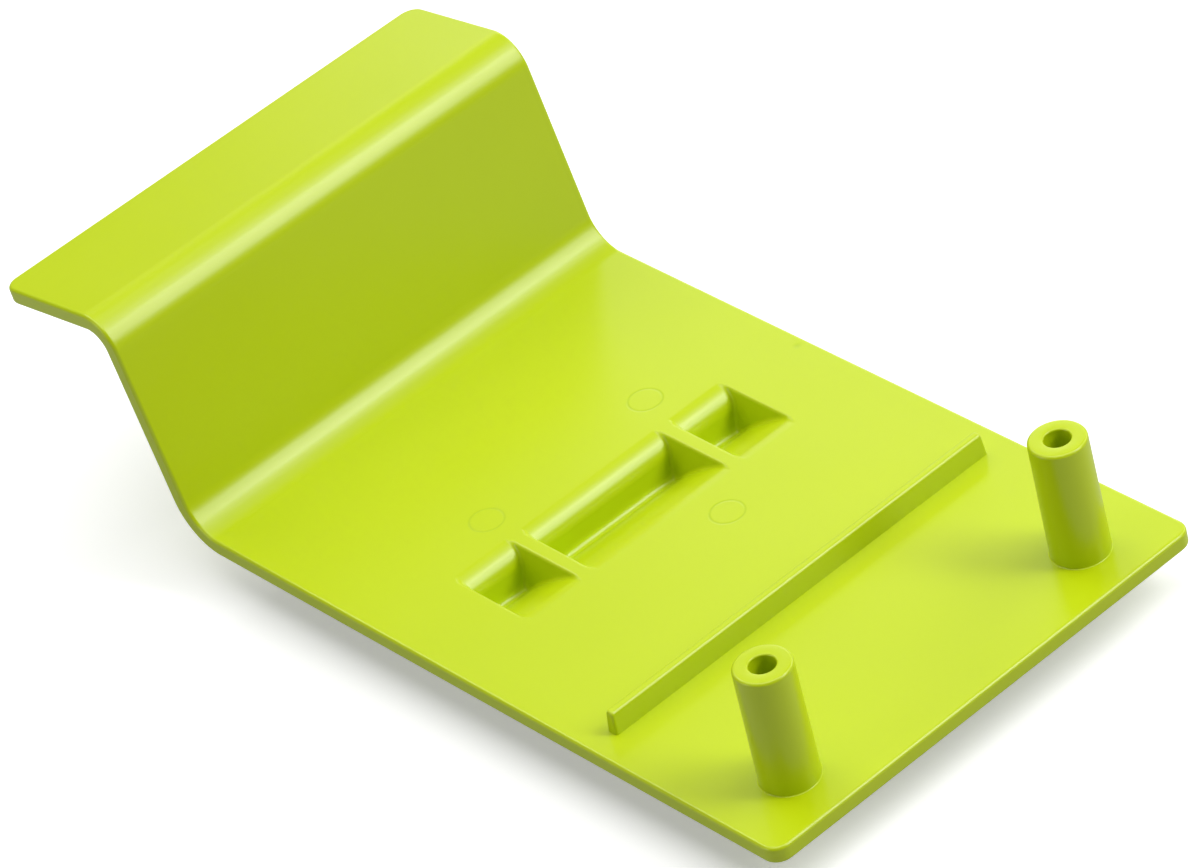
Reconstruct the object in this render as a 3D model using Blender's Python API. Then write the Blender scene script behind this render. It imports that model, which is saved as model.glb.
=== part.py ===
"""Moulded slide cover: a flat bed with two screw posts, a cross rib and a cored grip ridge,
bent up at one end into a riser with a short lip.

Metres, +Z up. The origin is on the bed's outer face, midway between the two screw posts.
+X runs along the bed to its front edge, -X to the riser and the lip, and Y across the bed.
The object is symmetric about the plane y = 0. Left is the -Y side.

The solids are drawn from the bed's inner face, where the posts and the rib stand, and the whole
cover is then raised by the sheet's thickness.
"""

import math

import bmesh
import bpy

MM = 0.001

# Clearance left between solids that touch on the real object.
GAP = 0.3 * MM

# Sheet: bed, riser and lip in one bent strip of constant thickness.
WIDTH = 75.0 * MM
THICKNESS = 2.5 * MM
FRONT_X = 9.2 * MM
BED_LENGTH = 114.4 * MM
RISER_LENGTH = 33.1 * MM
RISER_ANGLE = math.radians(77.4)
LIP_LENGTH = 23.8 * MM
LIP_DROP_ANGLE = math.radians(8.4)
FOOT_BEND_RADIUS = 5.5 * MM
HEAD_BEND_RADIUS = 3.0 * MM
CORNER_RADIUS = 2.4 * MM
EDGE_ROUND = 0.35 * MM
BEND_STEPS = 7
CORNER_STEPS = 5

# Screw posts.
POST_SPACING = 52.2 * MM
POST_HEIGHT = 18.2 * MM
POST_FOOT_RADIUS = 4.05 * MM
POST_TIP_RADIUS = 3.95 * MM
POST_HOLE_RADIUS = 1.8 * MM
POST_HOLE_DEPTH = 16.0 * MM
POST_EDGE_ROUND = 0.4 * MM
POST_STEPS = 32

# Cross rib.
RIB_X = -25.3 * MM
RIB_LENGTH = 67.0 * MM
RIB_HEIGHT = 3.3 * MM
RIB_FOOT_THICKNESS = 1.8 * MM
RIB_TOP_THICKNESS = 1.3 * MM

# Grip ridge: a V-shaped trough below the bed, open on the inner face.
TROUGH_LIP_X = -64.1 * MM
TROUGH_FRONT_X = -52.2 * MM
TROUGH_LENGTH = 48.6 * MM
TROUGH_DEPTH = 6.5 * MM
TROUGH_BOTTOM_WIDTH = 1.6 * MM
TROUGH_SIDE_DRAFT = math.radians(3.0)
TROUGH_END_DRAFT = math.radians(10.0)
RIDGE_WALL = 1.8 * MM
RIDGE_FRONT_RIM = 0.8 * MM
RIDGE_FLOOR = 2.2 * MM
RIDGE_NOSE_WIDTH = 3.2 * MM

# Two webs divide the trough into three bays.
WEB_THICKNESS = 2.3 * MM
WEB_OFFSET = 13.55 * MM

LIME = (0.434, 0.631, 0.004, 1.0)
ROUGHNESS = 0.38


def clear_scene():
    """Removes whatever the scene holds."""
    for item in list(bpy.data.objects):
        bpy.data.objects.remove(item, do_unlink=True)


def plastic(name):
    """A lime satin plastic for one sub-part."""
    material = bpy.data.materials.new(name + "_plastic")
    material.use_nodes = True
    shader = material.node_tree.nodes["Principled BSDF"]
    shader.inputs["Base Color"].default_value = LIME
    shader.inputs["Roughness"].default_value = ROUGHNESS
    shader.inputs["Metallic"].default_value = 0.0
    return material


def add_object(name, bm, parent=None):
    """Turns a bmesh into a named object with its own material."""
    bmesh.ops.recalc_face_normals(bm, faces=bm.faces)
    mesh = bpy.data.meshes.new(name)
    bm.to_mesh(mesh)
    bm.free()
    item = bpy.data.objects.new(name, mesh)
    bpy.context.scene.collection.objects.link(item)
    item.parent = parent
    mesh.materials.append(plastic(name))
    return item


def arc_points(centre, radius, start, turn, steps):
    """Points on an arc in a plane, from the start angle through the turn."""
    points = []
    for i in range(steps + 1):
        angle = start + turn * i / steps
        points.append((centre[0] + radius * math.cos(angle), centre[1] + radius * math.sin(angle)))
    return points


def sheet_outline():
    """The closed (x, z) outline of the bent sheet, with both bends as concentric arcs."""
    riser_dir = (-math.cos(RISER_ANGLE), math.sin(RISER_ANGLE))
    lip_dir = (-math.cos(LIP_DROP_ANGLE), -math.sin(LIP_DROP_ANGLE))
    foot = (FRONT_X - BED_LENGTH, 0.0)
    head = (foot[0] + RISER_LENGTH * riser_dir[0], RISER_LENGTH * riser_dir[1])
    lip_end = (head[0] + LIP_LENGTH * lip_dir[0], head[1] + LIP_LENGTH * lip_dir[1])

    # The lower bend's centre is on the inner side.
    foot_outer = FOOT_BEND_RADIUS + THICKNESS
    foot_turn = RISER_ANGLE
    foot_setback = FOOT_BEND_RADIUS * math.tan(foot_turn / 2.0)
    foot_centre = (foot[0] + foot_setback, FOOT_BEND_RADIUS)

    # The upper bend turns the other way, so its centre is on the outer side.
    head_outer = HEAD_BEND_RADIUS + THICKNESS
    head_turn = RISER_ANGLE + LIP_DROP_ANGLE
    head_setback = head_outer * math.tan(head_turn / 2.0)
    normal = (-riser_dir[1], riser_dir[0])
    head_centre = (
        head[0] - head_setback * riser_dir[0] + head_outer * normal[0],
        head[1] - head_setback * riser_dir[1] + head_outer * normal[1],
    )
    head_start = math.atan2(-normal[1], -normal[0])
    lip_normal = (math.sin(LIP_DROP_ANGLE), -math.cos(LIP_DROP_ANGLE))
    lip_end_outer = (lip_end[0] + THICKNESS * lip_normal[0], lip_end[1] + THICKNESS * lip_normal[1])

    down = -math.pi / 2.0
    inner = [(FRONT_X, 0.0)]
    inner += arc_points(foot_centre, FOOT_BEND_RADIUS, down, -foot_turn, BEND_STEPS)
    inner += arc_points(head_centre, head_outer, head_start, head_turn, BEND_STEPS)
    inner.append(lip_end)
    outer = [(FRONT_X, -THICKNESS)]
    outer += arc_points(foot_centre, foot_outer, down, -foot_turn, BEND_STEPS)
    outer += arc_points(head_centre, HEAD_BEND_RADIUS, head_start, head_turn, BEND_STEPS)
    outer.append(lip_end_outer)
    return inner + outer[::-1]


def prism_across(outline, half_width):
    """A bmesh prism: an (x, z) outline carried across Y."""
    bm = bmesh.new()
    verts = [bm.verts.new((x, -half_width, z)) for x, z in outline]
    face = bm.faces.new(verts)
    moved = bmesh.ops.extrude_face_region(bm, geom=[face])["geom"]
    new_verts = [item for item in moved if isinstance(item, bmesh.types.BMVert)]
    bmesh.ops.translate(bm, vec=(0.0, 2.0 * half_width, 0.0), verts=new_verts)
    return bm


def outline_corners(bm):
    """The edges through the sheet's thickness at its four free corners."""
    found = []
    lip_x = min(vert.co.x for vert in bm.verts)
    for edge in bm.edges:
        first, second = (vert.co for vert in edge.verts)
        through = abs((first - second).length - THICKNESS) < 0.01 * MM
        at_front = min(first.x, second.x) > FRONT_X - MM
        at_lip = min(first.x, second.x) < lip_x + MM
        if through and abs(first.y - second.y) < MM and (at_front or at_lip):
            found.append(edge)
    return found


def slide_sheet(parent):
    """The bed, riser and lip, with a window in the bed for the grip ridge."""
    bm = prism_across(sheet_outline(), WIDTH / 2.0)
    bmesh.ops.bevel(
        bm,
        geom=outline_corners(bm),
        offset=CORNER_RADIUS,
        segments=CORNER_STEPS,
        profile=0.5,
        affect="EDGES",
    )
    sheet = add_object("slide_sheet", bm, parent)
    edges = sheet.modifiers.new("edge_round", "BEVEL")
    edges.width = EDGE_ROUND
    edges.segments = 2
    edges.limit_method = "ANGLE"
    edges.angle_limit = math.radians(50.0)
    window = sheet.modifiers.new("ridge_window", "BOOLEAN")
    window.operation = "DIFFERENCE"
    window.solver = "EXACT"
    window.object = ridge_window(parent)
    sheet.data.shade_smooth()
    sheet.data.set_sharp_from_angle(angle=math.radians(30.0))
    return sheet


def box_mesh(low, high):
    """A bmesh box between two corners."""
    bm = bmesh.new()
    bmesh.ops.create_cube(bm, size=1.0)
    for vert in bm.verts:
        for axis in range(3):
            vert.co[axis] = high[axis] if vert.co[axis] > 0.0 else low[axis]
    return bm


def as_cutter(item):
    """Marks an object as a tool that is not part of the model."""
    item.hide_render = True
    item.display_type = "WIRE"
    return item


def ridge_window(parent):
    """The cutter for the opening in the bed that the ridge's rim fills."""
    low = (TROUGH_LIP_X - RIDGE_WALL - GAP, -TROUGH_LENGTH / 2.0 - RIDGE_WALL - GAP, -2.0 * THICKNESS)
    high = (TROUGH_FRONT_X + RIDGE_FRONT_RIM + GAP, -low[1], THICKNESS)
    return as_cutter(add_object("ridge_window_cutter", box_mesh(low, high), parent))


def lofted(levels):
    """A closed bmesh through rectangles, each given as (x0, x1, half_y, z), top to bottom."""
    bm = bmesh.new()
    rings = []
    for x0, x1, half_y, z in levels:
        corners = ((x0, -half_y), (x1, -half_y), (x1, half_y), (x0, half_y))
        rings.append([bm.verts.new((x, y, z)) for x, y in corners])
    for upper, lower in zip(rings, rings[1:]):
        for i in range(4):
            j = (i + 1) % 4
            bm.faces.new((upper[i], upper[j], lower[j], lower[i]))
    bm.faces.new(rings[0])
    bm.faces.new(rings[-1])
    return bm


def grip_ridge(parent):
    """The V-shaped shell below the bed: a steep wall towards the lip and a ramp to the front."""
    half = TROUGH_LENGTH / 2.0
    nose_z = -TROUGH_DEPTH - RIDGE_FLOOR
    nose_x = TROUGH_LIP_X - RIDGE_WALL + TROUGH_DEPTH * math.tan(TROUGH_SIDE_DRAFT)
    nose_half = half + RIDGE_WALL - TROUGH_DEPTH * math.tan(TROUGH_END_DRAFT)
    rim = (TROUGH_LIP_X - RIDGE_WALL, TROUGH_FRONT_X + RIDGE_FRONT_RIM, half + RIDGE_WALL)
    body = lofted(
        [
            (*rim, 0.0),
            (*rim, -THICKNESS),
            (nose_x, nose_x + RIDGE_NOSE_WIDTH, nose_half, nose_z),
        ]
    )
    ridge = add_object("grip_ridge", body, parent)
    cut = ridge.modifiers.new("trough", "BOOLEAN")
    cut.operation = "DIFFERENCE"
    cut.solver = "EXACT"
    cut.object = trough_cutter(parent)
    return ridge


def trough_section(z):
    """The trough's lip-side x, front x and half length at a height z at or above its bottom."""
    depth = -z
    lip_x = TROUGH_LIP_X + depth * math.tan(TROUGH_SIDE_DRAFT)
    bottom_x = TROUGH_LIP_X + TROUGH_DEPTH * math.tan(TROUGH_SIDE_DRAFT) + TROUGH_BOTTOM_WIDTH
    front_x = TROUGH_FRONT_X + (bottom_x - TROUGH_FRONT_X) * depth / TROUGH_DEPTH
    return lip_x, front_x, TROUGH_LENGTH / 2.0 - depth * math.tan(TROUGH_END_DRAFT)


def trough_cutter(parent):
    """The cutter for the hollow of the ridge, carried on above the bed along its own slopes."""
    above = MM
    levels = [(*trough_section(above), above), (*trough_section(-TROUGH_DEPTH), -TROUGH_DEPTH)]
    return as_cutter(add_object("trough_cutter", lofted(levels), parent))


def ridge_web(name, side, parent):
    """A triangular web that stands across the trough, flush with the bed and thicker at its foot."""
    foot_z = GAP - TROUGH_DEPTH
    lip_x, front_x, _ = trough_section(0.0)
    foot_lip_x, foot_front_x, _ = trough_section(foot_z)
    ramp_gap = GAP * math.hypot(1.0, (front_x - foot_front_x) / foot_z)
    outline = [
        (lip_x + GAP, 0.0),
        (front_x - ramp_gap, 0.0),
        (foot_front_x - ramp_gap, foot_z),
        (foot_lip_x + GAP, foot_z),
    ]
    bm = prism_across(outline, WEB_THICKNESS / 2.0)
    for vert in bm.verts:
        vert.co.y += math.copysign(vert.co.z * math.tan(TROUGH_END_DRAFT), vert.co.y)
    web = add_object(name, bm, parent)
    web.location.y = side * WEB_OFFSET
    return web


def cross_rib(parent):
    """A low straight rib across the bed, thinner at its top."""
    foot = RIB_FOOT_THICKNESS / 2.0
    top = RIB_TOP_THICKNESS / 2.0
    outline = [(-foot, GAP), (foot, GAP), (top, RIB_HEIGHT), (-top, RIB_HEIGHT)]
    rib = add_object("cross_rib", prism_across(outline, RIB_LENGTH / 2.0), parent)
    rib.location.x = RIB_X
    return rib


def screw_post(name, side, parent):
    """A round post with a blind hole for a self-tapping screw."""
    profile = [
        (0.0, GAP),
        (POST_FOOT_RADIUS, GAP),
        (POST_TIP_RADIUS, POST_HEIGHT - POST_EDGE_ROUND),
        (POST_TIP_RADIUS - POST_EDGE_ROUND, POST_HEIGHT),
        (POST_HOLE_RADIUS, POST_HEIGHT),
        (POST_HOLE_RADIUS, POST_HEIGHT - POST_HOLE_DEPTH),
        (0.0, POST_HEIGHT - POST_HOLE_DEPTH),
    ]
    bm = bmesh.new()
    verts = [bm.verts.new((radius, 0.0, z)) for radius, z in profile]
    edges = [bm.edges.new(pair) for pair in zip(verts, verts[1:])]
    bmesh.ops.spin(
        bm,
        geom=verts + edges,
        cent=(0.0, 0.0, 0.0),
        axis=(0.0, 0.0, 1.0),
        angle=2.0 * math.pi,
        steps=POST_STEPS,
        use_merge=True,
    )
    bmesh.ops.remove_doubles(bm, verts=bm.verts, dist=0.001 * MM)
    post = add_object(name, bm, parent)
    post.location.y = side * POST_SPACING / 2.0
    post.data.shade_smooth()
    post.data.set_sharp_from_angle(angle=math.radians(30.0))
    return post


def build():
    """Builds the whole cover under one empty."""
    clear_scene()
    cover = bpy.data.objects.new("slide_cover", None)
    cover.location.z = THICKNESS
    bpy.context.scene.collection.objects.link(cover)
    slide_sheet(cover)
    grip_ridge(cover)
    cross_rib(cover)
    for side, word in ((-1.0, "left"), (1.0, "right")):
        ridge_web("ridge_web_" + word, side, cover)
        screw_post("screw_post_" + word, side, cover)


build()
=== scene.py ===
"""Looks for the moulded slide cover: fine pieces over the CAD solids, one satin lime plastic, a
pale floor and soft studio light. Metres, +Z up, in the row frame.
"""

import math

import bmesh
import bpy
import numpy as np
from mathutils import Matrix, Vector

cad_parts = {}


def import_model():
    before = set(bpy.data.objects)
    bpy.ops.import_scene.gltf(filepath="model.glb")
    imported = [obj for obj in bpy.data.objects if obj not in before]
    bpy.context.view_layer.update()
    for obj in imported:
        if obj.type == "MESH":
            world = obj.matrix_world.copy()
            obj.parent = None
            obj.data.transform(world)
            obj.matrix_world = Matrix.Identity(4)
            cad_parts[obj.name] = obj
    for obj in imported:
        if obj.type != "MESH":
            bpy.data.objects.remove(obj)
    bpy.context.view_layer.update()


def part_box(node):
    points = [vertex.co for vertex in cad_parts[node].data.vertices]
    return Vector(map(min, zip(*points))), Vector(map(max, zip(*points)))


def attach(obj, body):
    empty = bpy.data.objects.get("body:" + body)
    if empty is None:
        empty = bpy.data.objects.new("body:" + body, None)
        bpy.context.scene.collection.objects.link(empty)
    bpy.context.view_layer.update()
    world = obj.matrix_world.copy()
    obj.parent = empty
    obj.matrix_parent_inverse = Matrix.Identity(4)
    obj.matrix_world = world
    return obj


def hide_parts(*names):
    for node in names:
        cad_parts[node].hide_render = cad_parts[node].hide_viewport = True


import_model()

MM = 0.001

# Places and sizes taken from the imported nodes.
SHEET_LOW, SHEET_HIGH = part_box("slide_sheet")
POST_LOW, POST_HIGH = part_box("screw_post_right")
RIB_LOW, RIB_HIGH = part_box("cross_rib")
RIDGE_LOW, RIDGE_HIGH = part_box("grip_ridge")
WEB_LOW, WEB_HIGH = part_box("ridge_web_right")

# The sheet: bed, riser and lip in one bent strip.
THICKNESS = RIDGE_HIGH.z
WIDTH = SHEET_HIGH.y - SHEET_LOW.y
FRONT_X = SHEET_HIGH.x
FOOT_X = FRONT_X - 114.4 * MM
RISER_LENGTH = 33.1 * MM
RISER_ANGLE = math.radians(77.4)
LIP_LENGTH = 23.8 * MM
LIP_DROP_ANGLE = math.radians(8.4)
FOOT_RADIUS = 5.5 * MM
HEAD_RADIUS = 5.5 * MM
CORNER_RADIUS = 2.4 * MM
EDGE_RADIUS = 0.5 * MM
BEND_STEPS = 28
CORNER_STEPS = 10
EDGE_STEPS = 6

# The hollow ridge below the bed. Its trough is measured on the bed's inner face.
RIDGE_WALL = 1.8 * MM
RIDGE_FRONT_RIM = 0.8 * MM
WALL_X = RIDGE_LOW.x + RIDGE_WALL
RAMP_X = RIDGE_HIGH.x - RIDGE_FRONT_RIM
TROUGH_HALF = RIDGE_HIGH.y - RIDGE_WALL
TROUGH_DEPTH = 6.8 * MM
RAMP_RADIUS = 35.0 * MM
RAMP_START = math.radians(20.0)
WALL_DRAFT = math.radians(3.0)
END_DRAFT = math.radians(10.0)
ROLL_RADIUS = 3.0 * MM
RIM_RADIUS = 0.35 * MM
VALLEY_RADIUS = 1.5 * MM
INNER_RADIUS = 0.5 * MM
NOSE_RADIUS = 1.0 * MM
NOSE_FRONT_X = RIDGE_LOW.x + 3.54 * MM

# The webs. Where one meets the ridge, its hidden skin lies just inside the ridge's own.
WEB_Y = (WEB_LOW.y + WEB_HIGH.y) / 2.0
WEB_HALF = 1.15 * MM
WEB_REACH = 3.4 * MM
WEB_ROOT = 0.5 * MM
WEB_SKIN = 0.012 * MM
WEB_TOP_SKIN = 0.002 * MM

# The patch of bed that belongs to the ridge piece, and so is left out of the sheet piece.
PATCH_BACK = 4.9 * MM
PATCH_FRONT = 1.8 * MM
PATCH_SIDE = 2.9 * MM
PATCH_LOW = Vector((WALL_X - PATCH_BACK, -TROUGH_HALF - PATCH_SIDE, 0.0))
PATCH_HIGH = Vector((RAMP_X + PATCH_FRONT, TROUGH_HALF + PATCH_SIDE, 0.0))

# The rib, which tapers upwards and whose foot ends inside the bed.
RIB_X = (RIB_LOW.x + RIB_HIGH.x) / 2.0
RIB_HALF = 0.9 * MM
RIB_LEAN = math.atan2(0.25, 3.3)
RIB_TOP_RADIUS = 0.45 * MM
RIB_END_RADIUS = 0.3 * MM
RIB_ROOT = 0.3 * MM

# The posts.
POST_HEIGHT = POST_HIGH.z - THICKNESS
POST_FOOT_RADIUS = (POST_HIGH.y - POST_LOW.y) / 2.0
POST_TIP_RADIUS = POST_FOOT_RADIUS - 0.1 * MM
POST_FLARE = 0.15 * MM
POST_RIM = 0.45 * MM
POST_ROOT = 0.02 * MM
HOLE_RADIUS = 1.8 * MM
HOLE_LEAD = 0.25 * MM
HOLE_DEPTH = 16.0 * MM

# The plastic's colour where it is deepest, lightest and marked, and its range of roughness.
LIME_DEEP = (0.488, 0.618, 0.001, 1.0)
LIME_LIGHT = (0.508, 0.634, 0.002, 1.0)
LIME_MARK = (0.43, 0.57, 0.001, 1.0)
ROUGH_LOW = 0.28
ROUGH_HIGH = 0.32

# Witness rings of three ejector pins, and one dot, on the bed's inner face.
PIN_PLACES = ((-72.2 * MM, -13.5 * MM), (-72.8 * MM, 16.1 * MM), (-45.4 * MM, 5.7 * MM))
PIN_LIFT = 1.0 * MM
PIN_RADIUS = 2.6 * MM
PIN_LINE = 0.28 * MM
DOT_PLACE = (-63.4 * MM, 35.8 * MM)
DOT_RADIUS = 0.9 * MM

# How bright the floor looks beyond its own lighting, and how much light it throws back.
FLOOR_GLOW = 0.35
FLOOR_BOUNCE = 0.45

# Camera, matched to the object's outline. Azimuth 0 looks along +Y.
CAMERA_AIM = Vector((-75.47 * MM, 9.47 * MM, 0.0))
CAMERA_DISTANCE = 924.34 * MM
CAMERA_AZIMUTH = math.radians(56.535)
CAMERA_ELEVATION = math.radians(36.407)
CAMERA_ROLL = math.radians(-14.872)
LENS = 206.95


# ---------------------------------------------------------------------------------------------
# Material
# ---------------------------------------------------------------------------------------------

def add_node(tree, kind, place, **settings):
    """A shader node at a place in the editor, with its settings."""
    node = tree.nodes.new(kind)
    node.location = place
    for key, value in settings.items():
        setattr(node, key, value)
    return node


def noise(tree, source, scale, detail, place):
    """A noise texture read in metres on the object."""
    node = add_node(tree, "ShaderNodeTexNoise", place)
    node.inputs["Scale"].default_value = scale
    node.inputs["Detail"].default_value = detail
    tree.links.new(source, node.inputs["Vector"])
    return node.outputs["Fac"]


def scaled(tree, value, low, high, place):
    """A 0 to 1 value mapped to a range."""
    node = add_node(tree, "ShaderNodeMapRange", place)
    node.inputs["To Min"].default_value = low
    node.inputs["To Max"].default_value = high
    tree.links.new(value, node.inputs["Value"])
    return node.outputs["Result"]


def round_mark(tree, source, centre, radius, width, place):
    """1 on a sphere round a point and 0 elsewhere, which draws a ring or a dot on a flat face."""
    away = add_node(tree, "ShaderNodeVectorMath", place, operation="DISTANCE")
    away.inputs[1].default_value = centre
    tree.links.new(source, away.inputs[0])
    off = add_node(tree, "ShaderNodeMath", (place[0] + 160, place[1]), operation="SUBTRACT")
    off.inputs[1].default_value = radius
    tree.links.new(away.outputs["Value"], off.inputs[0])
    size = add_node(tree, "ShaderNodeMath", (place[0] + 320, place[1]), operation="ABSOLUTE")
    tree.links.new(off.outputs["Value"], size.inputs[0])
    soft = add_node(tree, "ShaderNodeMapRange", (place[0] + 480, place[1]))
    soft.interpolation_type = "SMOOTHSTEP"
    soft.inputs["From Min"].default_value = 0.0
    soft.inputs["From Max"].default_value = width
    soft.inputs["To Min"].default_value = 1.0
    soft.inputs["To Max"].default_value = 0.0
    tree.links.new(size.outputs["Value"], soft.inputs["Value"])
    return soft.outputs["Result"]


def lime_plastic(name, marks=()):
    """Satin lime moulding: faint flow colour, fine grain and slightly uneven gloss."""
    material = bpy.data.materials.new(name)
    material.use_nodes = True
    tree = material.node_tree
    shader = tree.nodes["Principled BSDF"]
    shader.inputs["Metallic"].default_value = 0.0
    shader.inputs["IOR"].default_value = 1.52
    where = add_node(tree, "ShaderNodeTexCoord", (-1300, 0)).outputs["Object"]

    flow = noise(tree, where, 28.0, 3.0, (-1050, 260))
    ramp = add_node(tree, "ShaderNodeValToRGB", (-800, 260))
    ramp.color_ramp.elements[0].position = 0.3
    ramp.color_ramp.elements[0].color = LIME_DEEP
    ramp.color_ramp.elements[1].position = 0.7
    ramp.color_ramp.elements[1].color = LIME_LIGHT
    tree.links.new(flow, ramp.inputs["Fac"])

    cloud = noise(tree, where, 160.0, 2.0, (-1050, 0))
    tree.links.new(scaled(tree, cloud, ROUGH_LOW, ROUGH_HIGH, (-800, 0)), shader.inputs["Roughness"])

    grain = noise(tree, where, 2600.0, 3.0, (-1050, -260))
    sway = noise(tree, where, 70.0, 2.0, (-1050, -480))
    fine = add_node(tree, "ShaderNodeBump", (-560, -260))
    fine.inputs["Strength"].default_value = 0.04
    fine.inputs["Distance"].default_value = 0.00006
    tree.links.new(grain, fine.inputs["Height"])
    broad = add_node(tree, "ShaderNodeBump", (-330, -380))
    broad.inputs["Strength"].default_value = 0.15
    broad.inputs["Distance"].default_value = 0.00025
    tree.links.new(sway, broad.inputs["Height"])
    tree.links.new(fine.outputs["Normal"], broad.inputs["Normal"])
    shade = ramp.outputs["Color"]
    relief = broad.outputs["Normal"]
    for i, (centre, radius, width) in enumerate(marks):
        line = round_mark(tree, where, centre, radius, width, (-1500, -700 - 200 * i))
        tint = add_node(tree, "ShaderNodeMix", (-560 + 180 * i, 480), data_type="RGBA")
        tree.links.new(line, tint.inputs["Factor"])
        tree.links.new(shade, tint.inputs["A"])
        tint.inputs["B"].default_value = LIME_MARK
        shade = tint.outputs["Result"]
        bump = add_node(tree, "ShaderNodeBump", (-560 + 180 * i, -700), invert=True)
        bump.inputs["Strength"].default_value = 0.5
        bump.inputs["Distance"].default_value = 0.00005
        tree.links.new(line, bump.inputs["Height"])
        tree.links.new(relief, bump.inputs["Normal"])
        relief = bump.outputs["Normal"]
    tree.links.new(shade, shader.inputs["Base Color"])
    tree.links.new(relief, shader.inputs["Normal"])
    return material


# ---------------------------------------------------------------------------------------------
# Mesh helpers
# ---------------------------------------------------------------------------------------------

def add_piece(name, mesh, material, *nodes):
    """Links a finished mesh as a piece that stands for some CAD nodes."""
    item = bpy.data.objects.new(name, mesh)
    bpy.context.scene.collection.objects.link(item)
    mesh.materials.append(material)
    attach(item, "root")
    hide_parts(*nodes)
    return item


def weighted(item):
    """Lets the large flat faces set the shading, so that the small rounds stay clean."""
    modifier = item.modifiers.new("weighted", "WEIGHTED_NORMAL")
    modifier.mode = "FACE_AREA"
    modifier.weight = 100
    modifier.keep_sharp = True


def meet(a, b, radius):
    """Distance to what two solids share, with the edge between them rounded."""
    inner = np.hypot(np.maximum(radius + a, 0.0), np.maximum(radius + b, 0.0))
    return np.minimum(-radius, np.maximum(a, b)) + inner


def join(a, b, radius):
    """Distance to two solids together, with a fillet in the corner between them."""
    return -meet(-a, -b, radius)


def iso_mesh(name, field, low, high, step):
    """The surface where a distance field is zero, as quads pulled exactly onto it."""
    counts = [int(math.ceil((high[k] - low[k]) / step)) + 1 for k in range(3)]
    axes = [low[k] + step * np.arange(counts[k]) for k in range(3)]
    values = field(*np.meshgrid(*axes, indexing="ij"))
    cells = tuple(n - 1 for n in counts)
    total = np.zeros(cells + (3,))
    hits = np.zeros(cells)
    crossings = []
    for axis in range(3):
        others = ((axis + 1) % 3, (axis + 2) % 3)
        lower = np.take(values, range(counts[axis] - 1), axis)
        upper = np.take(values, range(1, counts[axis]), axis)
        cross = (lower < 0.0) != (upper < 0.0)
        part = np.where(cross, lower / np.where(cross, lower - upper, 1.0), 0.0)
        crossings.append((cross, lower < 0.0))
        base = np.indices(cross.shape).astype(float)
        base[axis] += part
        for first in (0, 1):
            for second in (0, 1):
                pick = [slice(None)] * 3
                pick[others[0]] = slice(first, first + cells[others[0]])
                pick[others[1]] = slice(second, second + cells[others[1]])
                pick = tuple(pick)
                hits += cross[pick]
                for k in range(3):
                    total[..., k] += np.where(cross[pick], base[k][pick], 0.0)
    active = hits > 0
    ids = np.full(cells, -1)
    ids[active] = np.arange(int(active.sum()))
    points = np.array(low) + step * total[active] / hits[active][:, None]
    quads = []
    for axis in range(3):
        cross, lower_in = crossings[axis]
        b, c = (axis + 1) % 3, (axis + 2) % 3
        inner = [slice(None)] * 3
        inner[b] = slice(1, -1)
        inner[c] = slice(1, -1)
        found = np.argwhere(cross[tuple(inner)])
        found[:, b] += 1
        found[:, c] += 1
        corners = []
        for back_b, back_c in ((1, 1), (0, 1), (0, 0), (1, 0)):
            cell = found.copy()
            cell[:, b] -= back_b
            cell[:, c] -= back_c
            corners.append(ids[tuple(cell.T)])
        faces = np.stack(corners, 1)
        turned = ~lower_in[tuple(found.T)]
        faces[turned] = faces[turned][:, ::-1]
        quads.append(faces)
    for _ in range(4):
        slope = gradient(field, points)
        level = field(*points.T)
        move = -level[:, None] * slope / np.maximum((slope * slope).sum(1), 0.25)[:, None]
        points += np.clip(move, -0.5 * step, 0.5 * step)
    mesh = bpy.data.meshes.new(name)
    mesh.from_pydata(points.tolist(), [], np.concatenate(quads).tolist())
    return mesh


def gradient(field, points):
    """The slope of a distance field at some points."""
    small = 0.01 * MM
    slope = np.zeros_like(points)
    for k in range(3):
        step = np.zeros(3)
        step[k] = small
        slope[:, k] = (field(*(points + step).T) - field(*(points - step).T)) / (2.0 * small)
    return slope


def field_shading(mesh, field):
    """Smooth shading from the field's own slope, exact even on the smallest rounds."""
    points = np.array([vert.co for vert in mesh.vertices])
    slope = gradient(field, points)
    slope /= np.maximum(np.linalg.norm(slope, axis=1), 1e-9)[:, None]
    mesh.shade_smooth()
    mesh.normals_split_custom_set_from_vertices(slope.tolist())


def trimmed(mesh, planes):
    """Cuts a mesh with planes given as (point, normal), and drops what lies in front of them."""
    bm = bmesh.new()
    bm.from_mesh(mesh)
    for point, normal in planes:
        bmesh.ops.bisect_plane(
            bm,
            geom=bm.verts[:] + bm.edges[:] + bm.faces[:],
            dist=1e-7,
            plane_co=point,
            plane_no=normal,
            clear_outer=True,
        )
    bm.to_mesh(mesh)
    bm.free()
    return mesh


# ---------------------------------------------------------------------------------------------
# The sheet
# ---------------------------------------------------------------------------------------------

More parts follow.
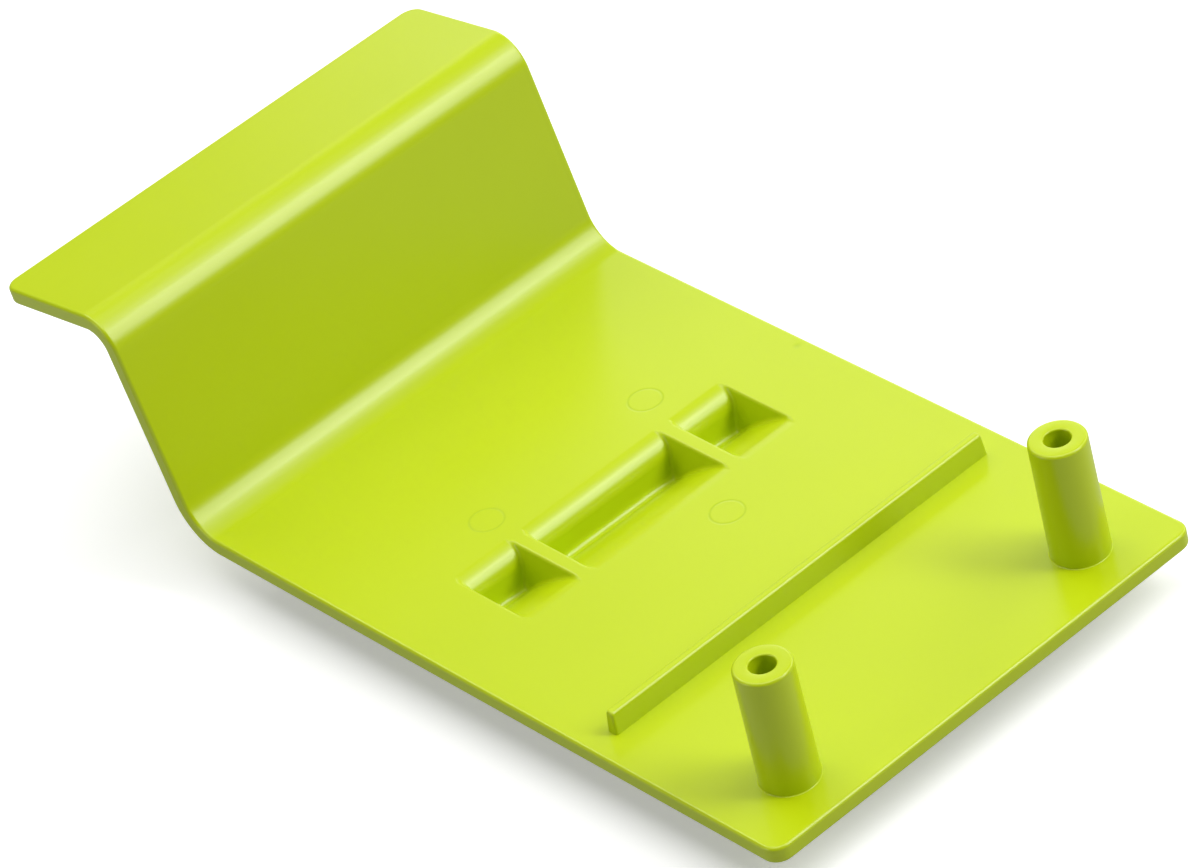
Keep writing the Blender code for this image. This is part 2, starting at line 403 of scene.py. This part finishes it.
def sheet_path():
    """Stations along the inner face: (length from the front, point, normal), as (x, z) pairs."""
    riser = (-math.cos(RISER_ANGLE), math.sin(RISER_ANGLE))
    lip = (-math.cos(LIP_DROP_ANGLE), -math.sin(LIP_DROP_ANGLE))
    foot_set = FOOT_RADIUS * math.tan(RISER_ANGLE / 2.0)
    turn = RISER_ANGLE + LIP_DROP_ANGLE
    head_set = HEAD_RADIUS * math.tan(turn / 2.0)
    top = THICKNESS
    stations = []

    def straight(start, direction, normal, length, steps, travelled):
        for i in range(steps + 1):
            along = length * i / steps
            point = (start[0] + along * direction[0], start[1] + along * direction[1])
            stations.append((travelled + along, point, normal))
        return travelled + length

    def bend(start, direction, normal, radius, angle, side, steps, travelled):
        centre = (start[0] + side * radius * normal[0], start[1] + side * radius * normal[1])
        for i in range(1, steps):
            part = angle * i / steps
            ahead = (math.sin(part), 1.0 - math.cos(part))
            point = (
                start[0] + radius * (ahead[0] * direction[0] + side * ahead[1] * normal[0]),
                start[1] + radius * (ahead[0] * direction[1] + side * ahead[1] * normal[1]),
            )
            away = (side * (centre[0] - point[0]) / radius, side * (centre[1] - point[1]) / radius)
            stations.append((travelled + radius * part, point, away))
        return travelled + radius * angle

    bed_length = FRONT_X - FOOT_X - foot_set
    at = straight((FRONT_X, top), (-1.0, 0.0), (0.0, 1.0), bed_length, 60, 0.0)
    foot_start = (FRONT_X - bed_length, top)
    at = bend(foot_start, (-1.0, 0.0), (0.0, 1.0), FOOT_RADIUS, RISER_ANGLE, 1.0, BEND_STEPS, at)
    riser_start = (FOOT_X + foot_set * riser[0], top + foot_set * riser[1])
    riser_normal = (riser[1], -riser[0])
    riser_run = RISER_LENGTH - foot_set - head_set
    at = straight(riser_start, riser, riser_normal, riser_run, 16, at)
    head_start = (riser_start[0] + riser_run * riser[0], riser_start[1] + riser_run * riser[1])
    at = bend(head_start, riser, riser_normal, HEAD_RADIUS, turn, -1.0, BEND_STEPS, at)
    head = (FOOT_X + RISER_LENGTH * riser[0], top + RISER_LENGTH * riser[1])
    lip_start = (head[0] + head_set * lip[0], head[1] + head_set * lip[1])
    straight(lip_start, lip, (lip[1], -lip[0]), LIP_LENGTH - head_set, 14, at)
    return stations


def sheet_piece(material):
    """The bent sheet with rounded corners and edges, open where the ridge piece fills the bed."""
    path = sheet_path()
    lengths = np.array([station[0] for station in path])
    spots = np.array([station[1] for station in path])
    normals = np.array([station[2] for station in path])
    end = lengths[-1]

    def placed(s, y, t):
        spot = [np.interp(s, lengths, spots[:, k]) for k in range(2)]
        away = np.array([np.interp(s, lengths, normals[:, k]) for k in range(2)])
        away /= np.linalg.norm(away)
        return (spot[0] - t * away[0], y, spot[1] - t * away[1])

    window = (FRONT_X - PATCH_HIGH.x, FRONT_X - PATCH_LOW.x)
    middle = [s for s in lengths if CORNER_RADIUS + MM < s < end - CORNER_RADIUS - MM]
    middle = [s for s in middle if min(abs(s - w) for w in window) > 0.6 * MM]
    middle = sorted(middle + list(window))
    turns = [math.pi / 2.0 * i / CORNER_STEPS for i in range(CORNER_STEPS + 1)]
    sections = []
    for i in range(EDGE_STEPS + 1):
        angle = math.pi / 2.0 * i / EDGE_STEPS
        inset = EDGE_RADIUS * (1.0 - math.sin(angle))
        sections.append((inset, EDGE_RADIUS * (1.0 - math.cos(angle))))
    sections += [(inset, THICKNESS - depth) for inset, depth in reversed(sections)]

    bm = bmesh.new()
    rings = []
    for inset, depth in sections:
        reach = CORNER_RADIUS - inset
        half = WIDTH / 2.0
        side = []
        for a in turns:
            s = CORNER_RADIUS - reach * math.cos(a)
            side.append((s, half - CORNER_RADIUS + reach * math.sin(a)))
        side += [(s, half - inset) for s in middle]
        for a in reversed(turns):
            s = end - CORNER_RADIUS + reach * math.cos(a)
            side.append((s, half - CORNER_RADIUS + reach * math.sin(a)))
        right = [bm.verts.new(placed(s, y, depth)) for s, y in side]
        left = [bm.verts.new(placed(s, -y, depth)) for s, y in side]
        rings.append((right, left))
    count = len(rings[0][0])
    for (right, left), (next_right, next_left) in zip(rings, rings[1:]):
        loop = right + left[::-1]
        below = next_right + next_left[::-1]
        for i in range(2 * count):
            j = (i + 1) % (2 * count)
            bm.faces.new((loop[i], loop[j], below[j], below[i]))

    first = len(turns) + middle.index(window[0])
    last = len(turns) + middle.index(window[1])
    holes = []
    for right, left in (rings[0], rings[-1]):
        depth = 0.0 if right is rings[0][0] else THICKNESS
        corners = {}
        for index, s in ((first, window[0]), (last, window[1])):
            for sign in (1.0, -1.0):
                corners[(index, sign)] = bm.verts.new(placed(s, sign * PATCH_HIGH.y, depth))
        for i in range(count - 1):
            if first <= i < last:
                continue
            face = [right[i], right[i + 1]]
            if i + 1 == first:
                face += [corners[(first, 1.0)], corners[(first, -1.0)]]
            face += [left[i + 1], left[i]]
            if i == last:
                face += [corners[(last, -1.0)], corners[(last, 1.0)]]
            bm.faces.new(face)
        bm.faces.new(right[first:last + 1] + [corners[(last, 1.0)], corners[(first, 1.0)]])
        bm.faces.new(left[first:last + 1] + [corners[(last, -1.0)], corners[(first, -1.0)]])
        holes.append(corners)
    tour = [(first, 1.0), (last, 1.0), (last, -1.0), (first, -1.0)]
    for here, there in zip(tour, tour[1:] + tour[:1]):
        bm.faces.new((holes[0][here], holes[0][there], holes[1][there], holes[1][here]))
    bmesh.ops.recalc_face_normals(bm, faces=bm.faces)
    mesh = bpy.data.meshes.new("sheet")
    bm.to_mesh(mesh)
    bm.free()
    mesh.shade_smooth()
    mesh.set_sharp_from_angle(angle=math.radians(40.0))
    item = add_piece("sheet", mesh, material, "slide_sheet")
    weighted(item)
    return item


# ---------------------------------------------------------------------------------------------
# The ridge, its webs, the rib and the posts
# ---------------------------------------------------------------------------------------------

def slanted(u, v, angle):
    """Distance past a plane through the origin that leans by an angle, positive on the +u side."""
    return u * math.cos(angle) + v * math.sin(angle)


def trough_shape(x, y, z):
    """The material round the trough, without webs: wall, scooped ramp and two ends."""
    height = z - THICKNESS
    wall = slanted(x - WALL_X, height, WALL_DRAFT)
    ramp_x = RAMP_X + RAMP_RADIUS * math.sin(RAMP_START)
    ramp = np.hypot(x - ramp_x, height + RAMP_RADIUS * math.cos(RAMP_START)) - RAMP_RADIUS
    ends = -slanted(np.abs(y) - TROUGH_HALF, -height, END_DRAFT)
    solid = join(meet(wall, height, ROLL_RADIUS), meet(ramp, height, RIM_RADIUS), VALLEY_RADIUS)
    solid = join(solid, meet(ends, height, RIM_RADIUS), INNER_RADIUS)
    return np.maximum(solid, height)


def ridge_body(x, y, z):
    """The outside of the ridge together with the bed round it."""
    nose = slanted(-(x - RIDGE_LOW.x), -z, WALL_DRAFT)
    front_angle = math.atan2(-RIDGE_LOW.z, RIDGE_HIGH.x - NOSE_FRONT_X)
    front = (x - RIDGE_HIGH.x) * math.sin(front_angle) - z * math.cos(front_angle)
    ends = slanted(np.abs(y) - RIDGE_HIGH.y, -z, END_DRAFT)
    hull = meet(meet(nose, front, NOSE_RADIUS), RIDGE_LOW.z - z, NOSE_RADIUS)
    hull = meet(hull, ends, NOSE_RADIUS)
    return join(-z, hull, NOSE_RADIUS)


def ridge_field(x, y, z):
    """The ridge shell with its trough."""
    return np.maximum(trough_shape(x, y, z), ridge_body(x, y, z))


def ridge_piece(material):
    """The V-shaped shell and the patch of bed round it."""
    margin = Vector((0.7 * MM, 0.7 * MM, 0.0))
    low = PATCH_LOW - margin
    high = PATCH_HIGH + margin
    low.z = RIDGE_LOW.z - 0.6 * MM
    high.z = THICKNESS + 0.6 * MM
    mesh = iso_mesh("ridge", ridge_field, low, high, 0.25 * MM)
    planes = [
        (PATCH_LOW, (-1.0, 0.0, 0.0)),
        (PATCH_LOW, (0.0, -1.0, 0.0)),
        (PATCH_HIGH, (1.0, 0.0, 0.0)),
        (PATCH_HIGH, (0.0, 1.0, 0.0)),
    ]
    trimmed(mesh, planes)
    field_shading(mesh, ridge_field)
    return add_piece("ridge", mesh, material, "grip_ridge")


def web_piece(name, side, material, node):
    """A web with fillets at its foot. Its hidden skin lies just inside the ridge shell."""
    middle = side * WEB_Y

    def field(x, y, z):
        height = z - THICKNESS
        shell = trough_shape(x, y, z)
        web = slanted(np.abs(y - middle) - WEB_HALF, height, END_DRAFT)
        solid = join(meet(web, height, RIM_RADIUS), shell + WEB_SKIN, INNER_RADIUS)
        solid = np.maximum(solid, height + WEB_TOP_SKIN)
        near = np.maximum(np.abs(y - middle) - WEB_REACH, -shell - WEB_ROOT)
        return np.maximum(solid, near)

    low = (WALL_X - 4.5 * MM, middle - 4.0 * MM, THICKNESS - TROUGH_DEPTH - 1.0 * MM)
    high = (RAMP_X + 1.4 * MM, middle + 4.0 * MM, THICKNESS + 0.5 * MM)
    mesh = iso_mesh(name, field, low, high, 0.2 * MM)
    field_shading(mesh, field)
    return add_piece(name, mesh, material, node)


def rib_field(x, y, z):
    """A low tapered rib with soft top edges. Its foot ends just inside the bed."""
    height = z - THICKNESS
    sides = slanted(np.abs(x - RIB_X) - RIB_HALF, height, RIB_LEAN)
    ends = slanted(np.abs(y) - RIB_HIGH.y, height, RIB_LEAN)
    rib = meet(meet(sides, z - RIB_HIGH.z, RIB_TOP_RADIUS), ends, RIB_END_RADIUS)
    return np.maximum(rib, -height - RIB_ROOT)


def rib_piece(material):
    """The cross rib."""
    low = (RIB_LOW.x - 1.6 * MM, RIB_LOW.y - 1.5 * MM, THICKNESS - 0.7 * MM)
    high = (RIB_HIGH.x + 1.6 * MM, RIB_HIGH.y + 1.5 * MM, RIB_HIGH.z + 0.4 * MM)
    mesh = iso_mesh("rib", rib_field, low, high, 0.2 * MM)
    field_shading(mesh, rib_field)
    return add_piece("rib", mesh, material, "cross_rib")


def post_piece(name, side, material, node):
    """A turned post: flared foot, slight draft, soft rim and a blind screw hole."""
    profile = [(0.0, -POST_ROOT), (POST_FOOT_RADIUS + POST_FLARE, -POST_ROOT)]
    for i in range(1, 9):
        angle = math.pi / 2.0 * i / 8
        radius = POST_FOOT_RADIUS + POST_FLARE * (1.0 - math.sin(angle))
        profile.append((radius, POST_FLARE * (1.0 - math.cos(angle))))
    for i in range(9):
        angle = math.pi / 2.0 * i / 8
        radius = POST_TIP_RADIUS - POST_RIM * (1.0 - math.cos(angle))
        profile.append((radius, POST_HEIGHT - POST_RIM * (1.0 - math.sin(angle))))
    for i in range(7):
        angle = math.pi / 2.0 * i / 6
        radius = HOLE_RADIUS + HOLE_LEAD * (1.0 - math.sin(angle))
        profile.append((radius, POST_HEIGHT - HOLE_LEAD * (1.0 - math.cos(angle))))
    profile.append((HOLE_RADIUS - 0.05 * MM, POST_HEIGHT - HOLE_DEPTH + 0.2 * MM))
    profile.append((HOLE_RADIUS - 0.3 * MM, POST_HEIGHT - HOLE_DEPTH))
    profile.append((0.0, POST_HEIGHT - HOLE_DEPTH))
    bm = bmesh.new()
    verts = [bm.verts.new((radius, 0.0, z)) for radius, z in profile]
    edges = [bm.edges.new(pair) for pair in zip(verts, verts[1:])]
    bmesh.ops.spin(
        bm,
        geom=verts + edges,
        cent=(0.0, 0.0, 0.0),
        axis=(0.0, 0.0, 1.0),
        angle=2.0 * math.pi,
        steps=96,
        use_merge=True,
    )
    bmesh.ops.remove_doubles(bm, verts=bm.verts, dist=1e-7)
    bmesh.ops.recalc_face_normals(bm, faces=bm.faces)
    place = Vector((0.0, side * (POST_LOW.y + POST_HIGH.y) / 2.0, THICKNESS))
    bmesh.ops.translate(bm, vec=place, verts=bm.verts)
    mesh = bpy.data.meshes.new(name)
    bm.to_mesh(mesh)
    bm.free()
    mesh.shade_smooth()
    mesh.set_sharp_from_angle(angle=math.radians(40.0))
    item = add_piece(name, mesh, material, node)
    weighted(item)
    return item


# ---------------------------------------------------------------------------------------------
# Floor, light and camera
# ---------------------------------------------------------------------------------------------

def floor():
    """A pale floor. It throws back less light than it shows, as a backdrop far behind would."""
    bm = bmesh.new()
    size = 6.0
    z = RIDGE_LOW.z - 0.3 * MM
    verts = [bm.verts.new((x * size, y * size, z)) for x, y in ((-1, -1), (1, -1), (1, 1), (-1, 1))]
    bm.faces.new(verts)
    mesh = bpy.data.meshes.new("floor")
    bm.to_mesh(mesh)
    bm.free()
    item = bpy.data.objects.new("floor", mesh)
    bpy.context.scene.collection.objects.link(item)
    material = bpy.data.materials.new("floor_white")
    material.use_nodes = True
    tree = material.node_tree
    shader = tree.nodes["Principled BSDF"]
    shader.inputs["Roughness"].default_value = 0.9
    shader.inputs["Specular IOR Level"].default_value = 0.0
    shader.inputs["Emission Color"].default_value = (1.0, 1.0, 1.0, 1.0)
    shader.inputs["Emission Strength"].default_value = FLOOR_GLOW
    where = add_node(tree, "ShaderNodeTexCoord", (-900, 0)).outputs["Object"]
    tone = noise(tree, where, 6.0, 2.0, (-700, 0))
    ramp = add_node(tree, "ShaderNodeValToRGB", (-450, 0))
    ramp.color_ramp.elements[0].color = (0.88, 0.88, 0.88, 1.0)
    ramp.color_ramp.elements[1].color = (0.90, 0.90, 0.90, 1.0)
    tree.links.new(tone, ramp.inputs["Fac"])
    tree.links.new(ramp.outputs["Color"], shader.inputs["Base Color"])
    bounce = add_node(tree, "ShaderNodeBsdfDiffuse", (0, -380))
    bounce.inputs["Color"].default_value = (FLOOR_BOUNCE, FLOOR_BOUNCE, FLOOR_BOUNCE, 1.0)
    rays = add_node(tree, "ShaderNodeLightPath", (0, 380))
    both = add_node(tree, "ShaderNodeMixShader", (340, 0))
    tree.links.new(rays.outputs["Is Camera Ray"], both.inputs[0])
    tree.links.new(bounce.outputs["BSDF"], both.inputs[1])
    tree.links.new(shader.outputs["BSDF"], both.inputs[2])
    tree.links.new(both.outputs["Shader"], tree.nodes["Material Output"].inputs["Surface"])
    mesh.materials.append(material)


def softbox(name, direction, distance, size, radiance, along=(0.0, 1.0, 0.0)):
    """A soft light that faces the middle of the object. Its first side lies along a direction."""
    light = bpy.data.lights.new(name, "AREA")
    light.shape = "RECTANGLE"
    light.size, light.size_y = size
    light.energy = radiance * math.pi * size[0] * size[1]
    item = bpy.data.objects.new(name, light)
    toward = Vector(direction).normalized()
    side = Vector(along)
    side = (side - toward * side.dot(toward)).normalized()
    turn = Matrix((side, toward.cross(side), toward)).transposed()
    item.location = Vector((-0.06, 0.0, 0.01)) + toward * distance
    item.rotation_mode = "QUATERNION"
    item.rotation_quaternion = turn.to_quaternion()
    bpy.context.scene.collection.objects.link(item)


def world(strength):
    """Even white surroundings."""
    surroundings = bpy.data.worlds.new("studio")
    surroundings.use_nodes = True
    backdrop = surroundings.node_tree.nodes["Background"]
    backdrop.inputs["Color"].default_value = (1.0, 1.0, 1.0, 1.0)
    backdrop.inputs["Strength"].default_value = strength
    bpy.context.scene.world = surroundings


def camera():
    """A long-lens camera above the front left corner, with a slight roll."""
    data = bpy.data.cameras.new("camera")
    data.sensor_width = 36.0
    data.sensor_fit = "HORIZONTAL"
    data.lens = LENS
    data.clip_start = 0.01
    data.clip_end = 20.0
    item = bpy.data.objects.new("camera", data)
    swing = Matrix.Rotation(CAMERA_AZIMUTH, 4, "Z")
    tilt = Matrix.Rotation(math.pi / 2.0 - CAMERA_ELEVATION, 4, "X")
    roll = Matrix.Rotation(CAMERA_ROLL, 4, "Z")
    retreat = Matrix.Translation((0.0, 0.0, CAMERA_DISTANCE))
    item.matrix_world = Matrix.Translation(CAMERA_AIM) @ swing @ tilt @ roll @ retreat
    bpy.context.scene.collection.objects.link(item)
    bpy.context.scene.camera = item


def build():
    """Everything: pieces, floor, light and camera."""
    plain = lime_plastic("lime_plastic_fine")
    marks = [((x, y, THICKNESS + PIN_LIFT), PIN_RADIUS, PIN_LINE) for x, y in PIN_PLACES]
    marks.append(((*DOT_PLACE, THICKNESS), 0.0, DOT_RADIUS))
    sheet_piece(lime_plastic("lime_plastic_sheet", marks))
    ridge_piece(plain)
    for side, word in ((-1.0, "left"), (1.0, "right")):
        web_piece("web_" + word, side, plain, "ridge_web_" + word)
        post_piece("post_" + word, side, plain, "screw_post_" + word)
    rib_piece(plain)
    floor()
    world(0.05)
    softbox("key", (0.616, 0.444, 0.65), 1.0, (0.66, 0.2), 10.6, (0.726, 0.0, -0.688))
    softbox("top", (0.0, 0.0, 1.0), 2.0, (1.6, 1.6), 2.7)
    softbox("high_side", (0.321, 0.557, 0.766), 2.0, (1.0, 1.0), 2.7)
    softbox("high_back", (-0.643, 0.0, 0.766), 2.0, (1.0, 1.0), 3.2)
    softbox("low_side", (0.0, 0.927, 0.375), 2.0, (1.0, 1.0), 2.7)
    softbox("low_back", (-0.656, 0.656, 0.375), 2.0, (1.0, 1.0), 2.1)
    softbox("low_left", (-0.3, -0.92, 0.25), 2.0, (1.0, 1.0), 2.5)
    camera()
    bpy.context.scene.view_settings.view_transform = "Standard"


build()
